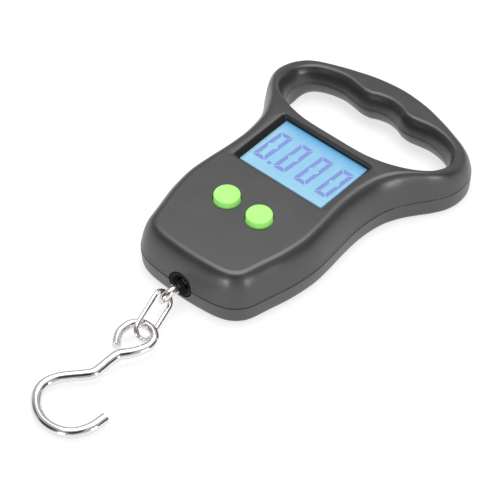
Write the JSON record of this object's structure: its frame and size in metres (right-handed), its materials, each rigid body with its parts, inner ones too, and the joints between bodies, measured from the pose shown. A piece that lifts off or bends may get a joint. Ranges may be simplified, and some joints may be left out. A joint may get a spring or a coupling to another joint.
{
  "type": "digital fish scale",
  "caption": "Hand-held hanging scale with a lit display, push buttons and a finger-grip handle; a polished wire hook hangs from a link on a threaded eye.",
  "frame": {"origin": "flat back of the case, on its centre line, under the middle of the whole object's length", "axes": "+X to the right as the display is read, +Y from the hook towards the handle, +Z out of the display"},
  "size_m": [0.093, 0.213, 0.0243],
  "materials": {
    "case": "fine moulded satin",
    "black_plastic": "matte",
    "button": "satin",
    "lens": "clear polished",
    "display_face": "smooth",
    "light_guide": "smooth",
    "rubber": "matte",
    "board": "satin",
    "chip": "satin",
    "gauge_foil": "foil on a plastic backing",
    "lead": "sleeved lead",
    "aluminium": "machined",
    "polished_steel": "polished",
    "screw_steel": "plain",
    "contact_plate": "nickel-washed",
    "cell_sleeve": "printed sleeve, plain"
  },
  "bodies": {
    "case": {"back_shell": "case", "backlight_panel": "light_guide", "battery_1": "cell_sleeve", "battery_2": "cell_sleeve", "battery_bus": "contact_plate", "battery_spring_1": "screw_steel", "battery_spring_2": "screw_steel", "battery_terminals": "contact_plate", "battery_tray": "black_plastic", "board_screw_1": "screw_steel", "board_screw_2": "screw_steel", "buzzer": "chip", "case_screw_1": "screw_steel", "case_screw_2": "screw_steel", "case_screw_3": "screw_steel", "case_screw_4": "screw_steel", "case_screw_5": "screw_steel", "case_screw_6": "screw_steel", "cell_screw_1": "screw_steel", "cell_screw_2": "screw_steel", "circuit_board": "board", "controller_chip": "chip", "display_frame": "black_plastic", "display_lens": "lens", "exit_bush": "rubber", "eye_bolt": "polished_steel", "eye_nut": "polished_steel", "front_shell": "case", "gauge_leads": "lead", "lcd_panel": "display_face", "left_switch": "screw_steel", "load_cell": "aluminium", "right_switch": "screw_steel", "strain_gauge_bottom": "gauge_foil", "strain_gauge_top": "gauge_foil", "zebra_strip": "rubber"},
    "battery_door": {"battery_door": "case"},
    "left_button": {"left_button": "button", "left_plunger": "black_plastic"},
    "right_button": {"right_button": "button", "right_plunger": "black_plastic"},
    "link": {"chain_link": "polished_steel"},
    "hook": {"hook": "polished_steel"}
  },
  "joints": [
    {"name": "left_button_press", "type": "slide", "parent": "case", "child": "left_button", "axis": [0, 0, -1], "range_m": [0, 0.0007], "stiffness_N_per_m": 400},
    {"name": "right_button_press", "type": "slide", "parent": "case", "child": "right_button", "axis": [0, 0, -1], "range_m": [0, 0.0007], "stiffness_N_per_m": 400},
    {"name": "battery_door_hinge", "type": "hinge", "parent": "case", "child": "battery_door", "pos_m": [0, 0.0305, 0], "axis": [-1, 0, 0], "range_deg": [0, 75]},
    {"name": "link_swing", "type": "hinge", "parent": "case", "child": "link", "pos_m": [0, -0.03187, 0.008], "axis": [-0.8625, 0, 0.506], "range_deg": [-60, 75]},
    {"name": "hook_swing", "type": "hinge", "parent": "link", "child": "hook", "pos_m": [0.0034, -0.04675, 0.0054], "axis": [-0.9429, -0.3265, -0.0656], "range_deg": [0, 75]}
  ]
}
